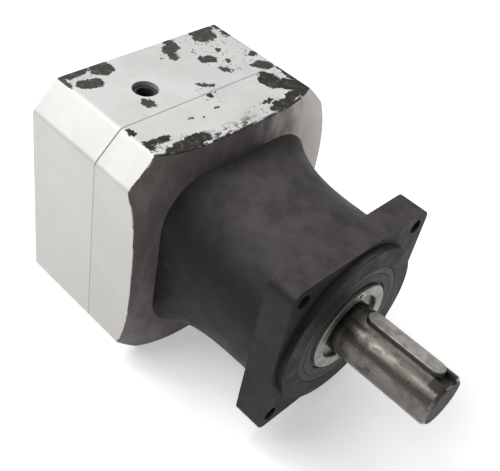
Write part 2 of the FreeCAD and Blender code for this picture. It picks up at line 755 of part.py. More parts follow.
def taper_races(prefix, front, rear, way):
    """Inner and outer race of a taper roller bearing; way is +1 when it opens to the front."""
    slope_in = "tan(roller_angle - roller_half_angle)"
    slope_out = "tan(roller_angle + roller_half_angle)"
    half = f"(({rear} - {front}) / 2)"
    low = "(roller_circle - roller_mean / cos(roller_angle) - race_gap)"
    high = "(roller_circle + roller_mean / cos(roller_angle) + race_gap)"
    outer = new_body(f"{prefix}_outer_race")
    turn(outer, f"{prefix}_cup", [
        (f"-{rear}", f"{high} - {way} * {slope_out} * {half}"),
        (f"-{rear}", "bearing_outer"),
        (f"-{front}", "bearing_outer"),
        (f"-{front}", f"{high} + {way} * {slope_out} * {half}"),
    ])
    inner = new_body(f"{prefix}_inner_race")
    turn(inner, f"{prefix}_cone", [
        (f"-{rear}", "bearing_inner"),
        (f"-{rear}", f"{low} - {way} * {slope_in} * {half}"),
        (f"-{front}", f"{low} + {way} * {slope_in} * {half}"),
        (f"-{front}", "bearing_inner"),
    ])
    return [outer, inner]


def taper_roller(name, spread, middle, way):
    """One taper roller, or the larger cone that cuts its window in the cage."""
    half = f"(roller_length / 2 + {spread})"
    cone = doc.addObject("Part::Cone", name)
    bind(cone, Height=f"2 * {half}",
         Radius1=f"roller_mean + {spread} - roller_taper * {half}",
         Radius2=f"roller_mean + {spread} + roller_taper * {half}")
    tilt = FreeCAD.Rotation(Y_AXIS, way * (90 - size("roller_angle")))
    place = FreeCAD.Vector(-amount(middle), 0, size("roller_circle"))
    seated = FreeCAD.Placement(FreeCAD.Vector(0, 0, -amount(half)), FreeCAD.Rotation())
    cone.Placement = FreeCAD.Placement(place, tilt).multiply(seated)
    return cone


def roller_ring(prefix, spread, middle, way):
    """A full ring of taper rollers."""
    count = int(size("roller_count"))
    members = []
    for i in range(count):
        roller = taper_roller(f"{prefix}_{i}", spread, middle, way)
        roller.Placement = round_axis(roller.Placement, i, count)
        members.append(roller)
    return members


def taper_bearing(prefix, front, rear, way):
    """Races, rollers and cage of one output bearing."""
    middle = f"(({front} + {rear}) / 2)"
    races = taper_races(prefix, front, rear, way)
    rollers = group(f"{prefix}_rollers", roller_ring(f"{prefix}_roller", "0", middle, way))
    half = "(roller_length / 2 + cage_overhang)"
    rise = f"tan(roller_angle) * {half}"
    band = new_body(f"{prefix}_cage_band")
    turn(band, f"{prefix}_band", [
        (f"-{middle} - {half}", f"roller_circle - {way} * {rise} - cage_half"),
        (f"-{middle} - {half}", f"roller_circle - {way} * {rise} + cage_half"),
        (f"-{middle} + {half}", f"roller_circle + {way} * {rise} + cage_half"),
        (f"-{middle} + {half}", f"roller_circle + {way} * {rise} - cage_half"),
    ])
    windows = group(f"{prefix}_windows", roller_ring(f"{prefix}_window", "cage_play", middle, way))
    cage = doc.addObject("Part::Cut", f"{prefix}_cage")
    cage.Label = f"{prefix}_cage"
    cage.Base, cage.Tool = band, windows
    return races + [rollers, cage]


def grooved_race(label, outer, inner, land, bulge):
    """A ball bearing race: a plain ring with the ball groove turned into the side called land."""
    body = ring(label, "ball_bearing_front", "ball_bearing_rear", outer, inner)
    middle = "((ball_bearing_front + ball_bearing_rear) / 2)"
    radius = "(ball_radius + race_gap)"
    rise = f"({land} - ball_circle)"
    half = f"sqrt({radius} ^ 2 - {rise} ^ 2)"
    turn_away(body, f"{label}_groove", [
        (f"-{middle} - {half}", land, radius, bulge),
        (f"-{middle} + {half}", land),
    ])
    return body


def input_bearing():
    """Races, balls and cage of the input ball bearing."""
    high, low = "ball_circle + race_land", "ball_circle - race_land"
    outer = grooved_race("input_bearing_outer_race", "ball_bearing_outer", high, high, -1)
    inner = grooved_race("input_bearing_inner_race", low, "ball_bearing_inner", low, 1)
    balls = group("input_bearing_balls", ball_ring("input_ball", "ball_radius"))
    middle = "((ball_bearing_front + ball_bearing_rear) / 2)"
    band = ring("input_cage_band", f"{middle} - ball_cage_reach", f"{middle} + ball_cage_reach",
                "ball_circle + ball_cage_half", "ball_circle - ball_cage_half")
    windows = group("input_windows", ball_ring("input_window", "ball_radius + cage_play"))
    cage = doc.addObject("Part::Cut", "input_bearing_cage")
    cage.Label = "input_bearing_cage"
    cage.Base, cage.Tool = band, windows
    return [outer, inner, balls, cage]


def ball_ring(prefix, radius):
    """A full ring of balls."""
    count = int(size("ball_count"))
    middle = (size("ball_bearing_front") + size("ball_bearing_rear")) / 2
    place = FreeCAD.Placement(FreeCAD.Vector(-middle, 0, size("ball_circle")), FreeCAD.Rotation())
    balls = []
    for i in range(count):
        ball = doc.addObject("Part::Sphere", f"{prefix}_{i}")
        bind(ball, Radius=radius)
        ball.Placement = round_axis(place, i, count)
        balls.append(ball)
    return balls


# ---------------------------------------------------------------- output side


def output_shaft():
    """Shaft and planet carrier, one piece."""
    body = new_body("output_shaft")
    turn(body, "shaft", [
        ("-carrier_rear", "carrier_core"),
        ("-carrier_rear", "carrier_radius"),
        ("-carrier_front", "carrier_radius"),
        ("-carrier_front", "collar_radius"),
        ("-rear_seat", "collar_radius"),
        ("-rear_seat", "bearing_inner"),
        ("-front_seat", "bearing_inner"),
        ("-front_seat", "nut_inner"),
        ("thread_end", "nut_inner"),
        ("thread_end", "shaft_radius"),
        ("shaft_length - shaft_chamfer", "shaft_radius"),
        ("shaft_length", "shaft_radius - shaft_chamfer"),
        ("shaft_length", "0"),
        ("-core_floor", "0"),
        ("-core_floor", "carrier_core"),
    ])
    pockets = new_sketch(body, "planet_pocket", "YZ_Plane", "-pocket_rear")
    circle = "tooth_module * (sun_teeth + planet_teeth) / 2"
    draw_circle(pockets, "0", circle, "pocket_radius")
    cut = pocket(body, "planet_pocket_cut", pockets, "pocket_rear - pocket_front", backwards=True)
    pattern(body, "planet_pockets", cut, "planet_count")
    pins = new_sketch(body, "pin_hole", "YZ_Plane", "-carrier_rear")
    draw_circle(pins, "0", circle, "pin_radius")
    hole = pocket(body, "pin_hole_cut", pins, "carrier_rear - pin_front", backwards=True)
    pattern(body, "pin_holes", hole, "planet_count")
    cut_keyway(body)
    return body


def cut_keyway(body):
    """A keyway with a round inner end that runs out through the shaft end."""
    slot = new_sketch(body, "keyway_outline", "XY_Plane")
    slot.AttachmentOffset = FreeCAD.Placement(ORIGIN, FreeCAD.Rotation(X_AXIS, -size("key_turn")))
    slot.setExpression("AttachmentOffset.Base.z", bound("key_seat * cos(key_turn)"))
    slot.setExpression("AttachmentOffset.Base.y", bound("key_seat * sin(key_turn)"))
    draw_outline(slot, [
        ("key_start + key_width / 2", "-key_width / 2"),
        ("shaft_length + 1", "-key_width / 2"),
        ("shaft_length + 1", "key_width / 2"),
        ("key_start + key_width / 2", "key_width / 2", KEY_END, 1),
    ])
    pocket(body, "keyway", slot, "shaft_radius", backwards=True)


def shaft_key():
    """A key with two round ends, chamfered round its top."""
    body = new_body("shaft_key")
    outline = new_sketch(body, "key_outline", "XY_Plane", "0")
    inner, outer = "key_start + key_width / 2", "key_start + key_length - key_width / 2"
    draw_outline(outline, [
        (inner, "-key_width / 2"),
        (outer, "-key_width / 2", KEY_END, 1),
        (outer, "key_width / 2"),
        (inner, "key_width / 2", KEY_END, 1),
    ])
    pad(body, "key_block", outline, "key_height")
    dress(body, "key_top", "PartDesign::Chamfer",
          lambda edge: edge.BoundBox.ZMin > size("key_height") - SAME, Size="key_chamfer")
    turned = FreeCAD.Rotation(X_AXIS, -size("key_turn"))
    body.Placement = FreeCAD.Placement(turned.multVec(FreeCAD.Vector(0, 0, size("key_seat"))), turned)
    return body


def lock_nut():
    """The nut that clamps the output bearings, with two spanner holes in its face."""
    body = new_body("lock_nut")
    turn(body, "lock_nut_ring", [
        ("-front_seat", "nut_inner"),
        ("-front_seat", "nut_outer"),
        ("nut_face - edge_break", "nut_outer"),
        ("nut_face", "nut_outer - edge_break"),
        ("nut_face", "nut_inner + edge_break"),
        ("nut_face - edge_break", "nut_inner"),
    ])
    pin = new_sketch(body, "spanner_hole", "YZ_Plane", "nut_face")
    draw_circle(pin, "0", "nut_pin_circle", "nut_pin_hole")
    hole = pocket(body, "spanner_hole_cut", pin, "nut_pin_depth")
    pattern(body, "spanner_holes", hole, "2")
    return body


def planet_parts(index, angle):
    """Pin, thrust washers, needles and gear of one planet."""
    centre = at_polar(planet_circle(), math.radians(angle))
    pin = doc.addObject("Part::Cylinder", f"planet_pin_{index}")
    pin.Label = f"planet_pin_{index}"
    bind(pin, Radius="pin_radius", Height="pin_rear - pin_front")
    pin.Placement = FreeCAD.Placement(centre - X_AXIS * size("pin_rear"), ALONG_X)
    needles = []
    count = int(size("needle_count"))
    start = -(size("planet_front") + size("planet_rear") + size("needle_length")) / 2
    circle = (size("planet_bore") + size("pin_radius")) / 2
    place = FreeCAD.Placement(FreeCAD.Vector(start, 0, circle), ALONG_X)
    for i in range(count):
        needle = doc.addObject("Part::Cylinder", f"needle_{index}_{i}")
        bind(needle, Radius="needle_radius", Height="needle_length")
        needle.Placement = FreeCAD.Placement(centre, FreeCAD.Rotation()).multiply(round_axis(place, i, count))
        needles.append(needle)
    return [pin, group(f"needle_rollers_{index}", needles), planet_gear(index, angle)]


def thrust_washers():
    """Two washers on each planet pin, one before and one behind the gear."""
    members = []
    stations = (size("pocket_front") + size("washer_thickness"), size("pocket_rear"))
    for index, angle in enumerate(planet_angles()):
        centre = at_polar(planet_circle(), math.radians(angle))
        for station in stations:
            name = f"washer_{index}_{int(station)}"
            outer = doc.addObject("Part::Cylinder", f"{name}_disc")
            inner = doc.addObject("Part::Cylinder", f"{name}_hole")
            bind(outer, Radius="washer_radius", Height="washer_thickness")
            bind(inner, Radius="pin_radius", Height="washer_thickness")
            washer = doc.addObject("Part::Cut", name)
            washer.Base, washer.Tool = outer, inner
            washer.Placement = FreeCAD.Placement(centre - X_AXIS * station, ALONG_X)
            members.append(washer)
    return group("thrust_washers", members)


# ---------------------------------------------------------------- input side


def input_shaft():
    """Input shaft with the split hub that grips the motor shaft."""
    body = new_body("input_shaft")
    turn(body, "input_turning", [
        ("-hub_rear", "motor_bore + edge_break"),
        ("-hub_rear", "hub_radius - edge_break"),
        ("-hub_rear + edge_break", "hub_radius"),
        ("-hub_front", "hub_radius"),
        ("-adapter_wall - 1", "hub_radius - hub_groove"),
        ("-adapter_wall - 1", "input_seal_radius"),
        ("-ball_bearing_rear", "input_seal_radius"),
        ("-ball_bearing_rear", "ball_bearing_inner"),
        ("-ball_bearing_front", "ball_bearing_inner"),
        ("-ball_bearing_front", "circlip_groove"),
        ("-ball_bearing_front + circlip_thickness", "circlip_groove"),
        ("-ball_bearing_front + circlip_thickness", "ball_bearing_inner"),
        ("-input_front", "ball_bearing_inner"),
        ("-input_front", "stem_radius"),
        ("-stem_rear", "stem_radius"),
        ("-stem_rear", "0"),
        ("-motor_bore_front", "0"),
        ("-motor_bore_front", "motor_bore"),
        ("-hub_rear + edge_break", "motor_bore"),
    ])
    slit = new_sketch(body, "slit_outline", "XY_Plane", "slit_width / 2")
    draw_outline(slit, [
        ("-hub_rear - 1", "0"),
        ("-slit_front", "0"),
        ("-slit_front", "-hub_radius - 1"),
        ("-hub_rear - 1", "-hub_radius - 1"),
    ])
    pocket(body, "slit", slit, "slit_width")
    thread = new_sketch(body, "clamp_thread_circle", "XY_Plane", "clamp_seat")
    draw_circle(thread, "-clamp_depth", "-clamp_offset", "clamp_screw_radius")
    pocket(body, "clamp_thread", thread, "2 * hub_radius")
    seat = new_sketch(body, "clamp_seat_circle", "XY_Plane", "clamp_seat")
    draw_circle(seat, "-clamp_depth", "-clamp_offset", "clamp_head_radius + 1")
    pocket(body, "clamp_seat_cut", seat, "hub_radius", backwards=True)
    return body


def clamp_screw():
    one = screw("clamp", "clamp_head_radius", "2 * clamp_screw_radius", "clamp_screw_radius",
                "clamp_screw_length", "clamp_socket")
    one.Label = "clamp_screw"
    place = FreeCAD.Vector(-size("clamp_depth"), -size("clamp_offset"), size("clamp_seat"))
    one.Placement = FreeCAD.Placement(place, FreeCAD.Rotation())
    return one


def build():
    """Make every sub-part and return the ones that are nodes."""
    nodes = [
        housing(),
        adapter_plate(),
        adapter_screws(),
        adapter_o_ring(),
        ring_gear(),
        ring("ring_gear_spacer", "gear_rear", "plate_front", "gear_bore", "spacer_inner"),
        input_bearing_plate(),
        shaft_seal("input_seal", "seal_front", "seal_rear", "ball_bearing_outer",
                   "input_lip_outer", "input_seal_radius + seal_gap", "1"),
        shaft_seal("output_seal", "-pilot_height", "front_seat - 1", "cover_inner",
                   "seal_lip_outer", "nut_outer + seal_gap", "1.2"),
        seal_cover(),
        output_shaft(),
        shaft_key(),
        lock_nut(),
        ring("bearing_spacer", "front_stop", "rear_stop", "collar_radius", "bearing_inner"),
        thrust_washers(),
        sun_gear(),
        input_shaft(),
        clamp_screw(),
        ring("input_circlip", "ball_bearing_front - circlip_thickness", "ball_bearing_front",
             "circlip_radius", "circlip_groove"),
    ]
    nodes += taper_bearing("front_bearing", "front_seat", "front_stop", 1)
    nodes += taper_bearing("rear_bearing", "rear_stop", "rear_seat", -1)
    nodes += input_bearing()
    for index, angle in enumerate(planet_angles(), start=1):
        nodes += planet_parts(index, angle)
    return nodes


def check_document():
    """Stop if any object failed to recompute."""
    for item in doc.Objects:
        if "Invalid" in item.State or "Error" in item.State:
            raise ValueError(f"{item.Name} is {item.State}")


def export(nodes):
    """Write one STEP file for each node."""
    os.makedirs("parts", exist_ok=True)
    for node in nodes:
        shape = node.Shape
        if shape.isNull() or not shape.isValid() or not shape.Solids:
            raise ValueError(f"{node.Label} has no valid solid")
        shape.exportStep(f"parts/{node.Label}.step")


fill_sheet()
NODES = build()
doc.recompute()
check_document()
export(NODES)
print(f"{len(NODES)} nodes written")
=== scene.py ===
import json
import math

import bpy
from mathutils import Matrix, Vector


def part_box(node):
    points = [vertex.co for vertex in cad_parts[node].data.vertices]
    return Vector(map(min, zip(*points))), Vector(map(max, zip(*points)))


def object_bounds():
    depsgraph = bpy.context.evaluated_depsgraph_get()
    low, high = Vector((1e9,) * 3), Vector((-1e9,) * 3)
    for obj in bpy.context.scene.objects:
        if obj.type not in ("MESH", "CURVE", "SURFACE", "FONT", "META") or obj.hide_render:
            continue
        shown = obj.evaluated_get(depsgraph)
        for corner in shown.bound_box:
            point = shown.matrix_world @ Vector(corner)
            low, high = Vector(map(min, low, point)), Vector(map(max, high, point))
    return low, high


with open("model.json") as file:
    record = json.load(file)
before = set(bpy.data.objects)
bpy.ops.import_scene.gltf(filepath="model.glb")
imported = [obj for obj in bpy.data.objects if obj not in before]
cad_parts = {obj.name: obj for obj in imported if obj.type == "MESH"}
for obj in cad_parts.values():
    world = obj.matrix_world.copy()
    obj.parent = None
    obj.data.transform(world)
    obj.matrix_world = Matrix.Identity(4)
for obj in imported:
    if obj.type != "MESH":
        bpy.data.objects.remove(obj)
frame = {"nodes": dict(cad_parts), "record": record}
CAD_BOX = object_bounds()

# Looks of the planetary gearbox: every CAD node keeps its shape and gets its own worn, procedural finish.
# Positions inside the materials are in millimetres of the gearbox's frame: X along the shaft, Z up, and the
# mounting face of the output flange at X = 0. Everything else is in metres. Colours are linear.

MM = 1000.0

# Places read from the frame.
BODY_LOW, BODY_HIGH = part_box("housing")
BODY_HALF = BODY_HIGH.y * MM
JOINT = BODY_LOW.x * MM
REAR_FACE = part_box("adapter_plate")[0].x * MM
SHAFT_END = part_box("output_shaft")[1].x * MM

# Sizes of the CAD model that a box can't give.
CORNER_CUT = 20.5
CORNER_SUM = BODY_HALF * 2 - CORNER_CUT
CUT_START = BODY_HALF - CORNER_CUT
SHOULDER_CROWN = -115.0
SHOULDER_RADIUS = 93.0
SHOULDER_ARC = 42.0
FLANGE_HALF = 70.0
FLANGE_THICKNESS = 22.0
KEY_TOP = 23.0
KEY_TURN = math.radians(3.5)
CLAMP_DEPTH = 186.5
CLAMP_OFFSET = 31.5
HOLE_MOUTH = 9.6

# Paint marks: how far past the joint a mark may lie and still show on this side, how deep below the top
# face its marks end, and half the depth of the ellipsoids that give the patches their outline.
MARK_REACH = 15.0
FACE_SKIN = 1.0
STAIN_DEPTH = 8.0

# Machined metal, dulled by oxide and handling: how metallic it is, and its relief as a share of the paint's.
BARE_METALLIC = 0.35
BARE_RELIEF = 0.25

# Bare metal, and the painted shade of its side flats.
MILLED = (0.63, 0.625, 0.61)
MILLED_BRIGHT = (0.70, 0.695, 0.68)
SCUFFED = (0.55, 0.54, 0.52)
# Painted shade: the grey that the side flats are darkened to.
SCRATCHED = (0.40, 0.395, 0.385)
SIDE_FLAT_SHADE = (0.43, 0.415, 0.395)
JOINT_DIRT = (0.10, 0.095, 0.09)

# Paint and what lies on it, and the painted light and painted reflection on it.
PAINT = (0.013, 0.0112, 0.0107)
PAINT_FADED = (0.021, 0.0182, 0.0175)
PAINT_SMUDGED = (0.040, 0.036, 0.034)
PAINT_BLACK = (0.008, 0.007, 0.007)
PAINT_WORN = (0.12, 0.11, 0.10)
# Painted reflection on the shoulder: grey, and almost white on the +Y side.
SHOULDER_SHEEN_GREY = (0.115, 0.105, 0.10)
SHOULDER_SHEEN_PALE = (0.17, 0.155, 0.15)
SHOULDER_REFLECTION_WHITE = (0.78, 0.74, 0.70)
# Painted light: the paint's colour where it faces up.
PAINT_LIT_FROM_ABOVE = (0.11, 0.102, 0.098)
RESIDUE_BLACK = (0.028, 0.026, 0.024)
RESIDUE_OLIVE = (0.12, 0.105, 0.085)

# Steel, and the painted shade of the shaft's end face.
SHAFT = (0.16, 0.149, 0.133)
SHAFT_STAIN = (0.045, 0.036, 0.028)
# Painted shade: the darker colour of the shaft's end face.
SHAFT_END_SHADE = (0.055, 0.051, 0.047)
KEY_PATCH_DARK = (0.035, 0.033, 0.03)
BROWN_SPOT = (0.14, 0.10, 0.07)

# Lamps: name, size, place, power in watts. All face the middle of the gearbox.
LAMPS = [
    ("key", (1.3, 1.3), (-0.93, -1.12, 1.42), 21),
    ("top", (2.2, 2.2), (-0.5, 0.9, 1.8), 17),
    ("left", (1.6, 1.0), (0.2, -1.9, 0.35), 1),
    ("strip", (0.5, 0.35), (-0.85, -0.34, 1.6), 7),
]
LAMPS_FACE = (-0.08, 0.0, 0.0)
ROOM_LIGHT = 0.22
FLOOR_HALF = 6.0
FLOOR_GLOW = 0.4
WHITE = (1.0, 1.0, 1.0, 1.0)

# The camera: its place, the heading of its view from +X towards +Y, how far it looks down, and its turn
# about its own axis. Angles are in degrees, and the lens and sensor in millimetres.
CAMERA_PLACE = (0.17388, -0.36128, 0.41745)
CAMERA_HEADING = 126.558
CAMERA_DOWN = 42.262
CAMERA_TURN = 12.474
CAMERA_LENS = 59.21
CAMERA_SENSOR = 36.0


# ------------------------------------------------------------------ node helpers


class Look:
    """One material under construction: short calls that add nodes and return sockets."""

    # A mix node has sockets of the same names for every type of value, so its colours are found by number.
    MIX_COLOUR_A = 6
    MIX_COLOUR_B = 7
    MIX_COLOUR_OUT = 2

    def __init__(self, name, metallic, specular=0.5):
        self.material = bpy.data.materials.new(name)
        self.material.use_nodes = True
        self.tree = self.material.node_tree
        self.shader = self.tree.nodes["Principled BSDF"]
        self.shader.inputs["Metallic"].default_value = metallic
        self.shader.inputs["Specular IOR Level"].default_value = specular
        self.place = self._place()

    def add(self, kind, **settings):
        node = self.tree.nodes.new(kind)
        for name, value in settings.items():
            setattr(node, name, value)
        return node

    def put(self, socket, value):
        """Link a socket, or set a constant."""
        if isinstance(value, bpy.types.NodeSocket):
            self.tree.links.new(value, socket)
        elif socket.type == "RGBA" and len(value) == 3:
            socket.default_value = (*value, 1.0)
        else:
            socket.default_value = value

    def _place(self):
        """Object position in millimetres."""
        coordinates = self.add("ShaderNodeTexCoord")
        scale = self.add("ShaderNodeVectorMath", operation="SCALE")
        self.put(scale.inputs[0], coordinates.outputs["Object"])
        self.put(scale.inputs["Scale"], MM)
        return scale.outputs[0]

    def math(self, operation, a, b=0.0):
        node = self.add("ShaderNodeMath", operation=operation)
        self.put(node.inputs[0], a)
        self.put(node.inputs[1], b)
        return node.outputs[0]

    def vector(self, operation, a, b=(0.0, 0.0, 0.0)):
        node = self.add("ShaderNodeVectorMath", operation=operation)
        self.put(node.inputs[0], a)
        self.put(node.inputs[1], b)
        return node.outputs["Value" if operation == "LENGTH" else "Vector"]

    def axes(self):
        """The three coordinates in millimetres."""
        node = self.add("ShaderNodeSeparateXYZ")
        self.put(node.inputs[0], self.place)
        return node.outputs[0], node.outputs[1], node.outputs[2]

    def noise_node(self, size, detail, rough, stretch, shift):
        """A noise texture whose features are about size millimetres across, times stretch."""
        mapping = self.add("ShaderNodeMapping")
        self.put(mapping.inputs["Vector"], self.place)
        mapping.inputs["Location"].default_value = shift
        mapping.inputs["Scale"].default_value = [1.0 / (size * s) for s in stretch]
        node = self.add("ShaderNodeTexNoise")
        self.put(node.inputs["Vector"], mapping.outputs[0])
        node.inputs["Scale"].default_value = 1.0
        node.inputs["Detail"].default_value = detail
        node.inputs["Roughness"].default_value = rough
        return node

    def noise(self, size, detail, rough, stretch=(1, 1, 1), shift=(0, 0, 0)):
        """Noise from 0 to 1."""
        return self.noise_node(size, detail, rough, stretch, shift).outputs["Fac"]

    def wobble(self, size, amount, shift=(0, 0, 0)):
        """How far noise moves a position, by up to amount millimetres each way, for ragged outlines."""
        node = self.noise_node(size, 4.0, 0.5, (1, 1, 1), shift)
        centred = self.vector("SUBTRACT", node.outputs["Color"], (0.5, 0.5, 0.5))
        return self.vector("MULTIPLY", centred, (amount * 2,) * 3)

    def ramp(self, value, low, high, out_low=0.0, out_high=1.0):
        """A value between low and high, spread smoothly over out_low to out_high."""
        node = self.add("ShaderNodeMapRange", clamp=True, interpolation_type="SMOOTHSTEP")
        self.put(node.inputs["Value"], value)
        self.put(node.inputs["From Min"], low)
        self.put(node.inputs["From Max"], high)
        self.put(node.inputs["To Min"], out_low)
        self.put(node.inputs["To Max"], out_high)
        return node.outputs["Result"]

    def mix(self, a, b, factor):
        """Colour a where factor is 0 and colour b where it is 1."""
        node = self.add("ShaderNodeMix", data_type="RGBA")
        self.put(node.inputs["Factor"], factor)
        self.put(node.inputs[self.MIX_COLOUR_A], a)
        self.put(node.inputs[self.MIX_COLOUR_B], b)
        return node.outputs[self.MIX_COLOUR_OUT]

    def blend(self, a, b, factor):
        """Number a where factor is 0 and number b where it is 1."""
        kept = self.math("MULTIPLY", a, self.math("SUBTRACT", 1.0, factor))
        return self.math("ADD", kept, self.math("MULTIPLY", b, factor))

    def colour(self, value):
        self.put(self.shader.inputs["Base Color"], value)

    def roughness(self, value):
        self.put(self.shader.inputs["Roughness"], value)

    def metallic(self, value):
        self.put(self.shader.inputs["Metallic"], value)

    def bump(self, height, distance):
        """Surface relief; distance is the height of the relief in millimetres."""
        node = self.add("ShaderNodeBump")
        node.inputs["Strength"].default_value = 1.0
        node.inputs["Distance"].default_value = distance / MM
        self.put(node.inputs["Height"], height)
        self.put(self.shader.inputs["Normal"], node.outputs[0])


def any_of(look, *masks):
    """The strongest of several masks."""
    result = masks[0]
    for mask in masks[1:]:
        result = look.math("MAXIMUM", result, mask)
    return result


def all_of(look, *masks):
    """Masks multiplied together."""
    result = masks[0]
    for mask in masks[1:]:
        result = look.math("MULTIPLY", result, mask)
    return result


def opposite(look, mask):
    """0 where a mask is 1, and 1 where it is 0."""
    return look.math("SUBTRACT", 1.0, mask)


def reach(look, y, z):
    """Distance from the axis to the square that a point lies on."""
    return look.math("MAXIMUM", look.math("ABSOLUTE", y), look.math("ABSOLUTE", z))


def top_face(look, z, whole_at):
    """1 on the flat top face; the mask is whole from whole_at millimetres below it."""
    return look.ramp(z, BODY_HALF - FACE_SKIN, BODY_HALF - whole_at)


# ------------------------------------------------------------------ paint left on the machined faces

# Dark paint left on the top face: middle X, middle Y, half size along X and along Y, turn in degrees.
TOP_STAINS = [
    (-211, -60, 6, 10, -20), (-222, -74, 9, 3, 0), (-222, -42, 9, 9, 0), (-226, -62, 4, 12, 0),
    (-209, 14, 5, 5, 0), (-218, 19, 6, 9, 20), (-226, 23, 5, 5, 0),
    (-219, 54, 9, 11, 0), (-226, 56, 5, 12, 0), (-214, 73, 5, 4, 0), (-226, 73, 5, 4, 0),
    (-193, 33.5, 5, 8, -25), (-175.5, 36, 5, 3, 25), (-183, 46, 2.5, 2.5, 0), (-199, 50, 3, 2.5, 0),
    (-168.5, 8, 2.6, 6, -40), (-157, 2, 2.5, 3, 0), (-165, 12.5, 2, 2.5, 0),
    (-172, -41, 6, 4.5, 20), (-181, 71, 3, 5, 0), (-165, 66, 6, 8, -20), (-168, 60, 3, 3, 0),
    (-152, -72, 4.5, 3, 0), (-135, -71.5, 7, 2.2, 0), (-136, -62, 3, 9, -8),
    (-122, -50, 7, 23, 4), (-121, 40, 5.5, 12, 0), (-125, 55, 4, 12, 12), (-129, 34, 2.2, 5, 0),
    (-148, 55, 12, 8, -15), (-125, 68, 12, 8, 0), (-138, 74, 22, 3.5, 0), (-137, 63, 8, 8, 0),
    (-143, -28, 1.4, 1.8, 0), (-139, -19, 1.3, 1.6, 0), (-143, -3, 1.8, 1.8, 0),
]

# Areas where the paint is left as small flecks: the same five numbers.
TOP_FLECKS = [
    (-157, 4, 17, 8, -8), (-215, 38, 15, 38, 0), (-185, 46, 16, 17, 0), (-168, 66, 26, 10, 0),
    (-221, -62, 10, 15, 0), (-124, 30, 8, 34, 0), (-126, -56, 10, 18, 0),
]


def marks_between(marks, least_x, most_x):
    """The marks whose middle lies between two stations."""
    return [mark for mark in marks if least_x < mark[0] < most_x]


def left_paint(look, least_x, most_x):
    """1 where dark paint is left on the top face between two stations."""
    z = look.axes()[2]
    patches = stain_field(look, marks_between(TOP_STAINS, least_x, most_x))
    areas = stain_field(look, marks_between(TOP_FLECKS, least_x, most_x))
    fleck = look.ramp(look.noise(2.3, 4, 0.65, shift=(2, 5, 5)), 0.605, 0.635)
    marks = any_of(look, patches, look.math("MULTIPLY", areas, fleck))
    return look.math("MULTIPLY", marks, top_face(look, z, 0.6))


def stain_field(look, stains):
    """1 inside ragged ellipses on the top face, and 0 elsewhere."""
    coarse = look.wobble(5.0, 4.0)
    fine = look.wobble(1.6, 1.9, shift=(3, 1, 7))
    ragged = look.vector("ADD", look.place, look.vector("ADD", coarse, fine))
    nearest = 9.0
    for x, y, half_x, half_y, turn in stains:
        mapping = look.add("ShaderNodeMapping", vector_type="TEXTURE")
        look.put(mapping.inputs["Vector"], ragged)
        mapping.inputs["Location"].default_value = (x, y, BODY_HALF)
        mapping.inputs["Rotation"].default_value = (0, 0, math.radians(turn))
        mapping.inputs["Scale"].default_value = (half_x, half_y, STAIN_DEPTH)
        nearest = look.math("MINIMUM", look.vector("LENGTH", mapping.outputs[0]), nearest)
    return look.ramp(nearest, 0.93, 1.05, 1.0, 0.0)


def shoulder_distance(look, x, y, z):
    """Millimetres that a point lies behind the edge where the turned shoulder cuts the flats."""
    radius = look.math("SQRT", look.math("ADD", look.math("POWER", y, 2.0), look.math("POWER", z, 2.0)))
    out = look.math("SUBTRACT", radius, SHOULDER_RADIUS)
    drop = look.math("SUBTRACT", SHOULDER_ARC**2, look.math("POWER", out, 2.0))
    rise = look.math("SQRT", look.math("MAXIMUM", drop, 0.0))
    edge = look.math("ADD", rise, SHOULDER_CROWN - SHOULDER_ARC)
    return look.math("SUBTRACT", edge, x)


def machined_metal(look, y, z):
    """Colour, roughness and relief of the pale milled faces: cutter lines, scuffs, and painted shade on the
    side flats.
    """
    broad = look.noise(45, 3, 0.6)
    cloud = look.noise(11, 4, 0.6, shift=(5, 2, 9))
    lines = look.noise(0.9, 2, 0.6, stretch=(1, 60, 60))
    scratch = look.noise(1.1, 3, 0.7, stretch=(22, 1, 1), shift=(8, 8, 1))
    shaded_side = look.ramp(look.math("ABSOLUTE", y), BODY_HALF - FACE_SKIN, BODY_HALF - 0.4, 0.0, 0.75)
    darker_towards_bottom = look.ramp(z, BODY_HALF + 25, -BODY_HALF, 0.6, 1.0)
    pale = look.mix(MILLED, MILLED_BRIGHT, look.ramp(broad, 0.35, 0.65))
    pale = look.mix(pale, SCUFFED, look.ramp(cloud, 0.55, 0.78, 0.0, 0.5))
    pale = look.mix(pale, SCRATCHED, look.ramp(scratch, 0.70, 0.80, 0.0, 0.5))
    # Painted shade: the side flats greyer than the top face, and darker towards the bottom.
    pale = look.mix(pale, SIDE_FLAT_SHADE, look.math("MULTIPLY", shaded_side, darker_towards_bottom))
    rough = look.math("ADD", look.ramp(broad, 0.3, 0.7, 0.46, 0.52), look.ramp(scratch, 0.6, 0.8, 0.0, 0.1))
    height = look.math("ADD", look.math("MULTIPLY", lines, 0.6), look.math("MULTIPLY", scratch, 0.4))
    return pale, rough, height


def paint(look):
    """Colour, roughness and relief of the dark satin paint over a casting."""
    broad = look.noise(60, 3, 0.6, shift=(2, 9, 4))
    smudge = look.noise(14, 5, 0.62, shift=(7, 1, 3))
    cast = look.noise(3.2, 4, 0.6)
    speck = look.noise(0.8, 2, 0.5)
    dark = look.mix(PAINT, PAINT_FADED, look.ramp(broad, 0.3, 0.7))
    dark = look.mix(dark, PAINT_SMUDGED, look.ramp(smudge, 0.54, 0.76, 0.0, 0.5))
    dark = look.mix(dark, PAINT_BLACK, look.ramp(smudge, 0.42, 0.28, 0.0, 0.7))
    rough = look.ramp(smudge, 0.3, 0.75, 0.46, 0.66)
    height = look.math("ADD", look.math("MULTIPLY", cast, 0.7), look.math("MULTIPLY", speck, 0.3))
    return dark, rough, height


# ------------------------------------------------------------------ materials of the visible parts


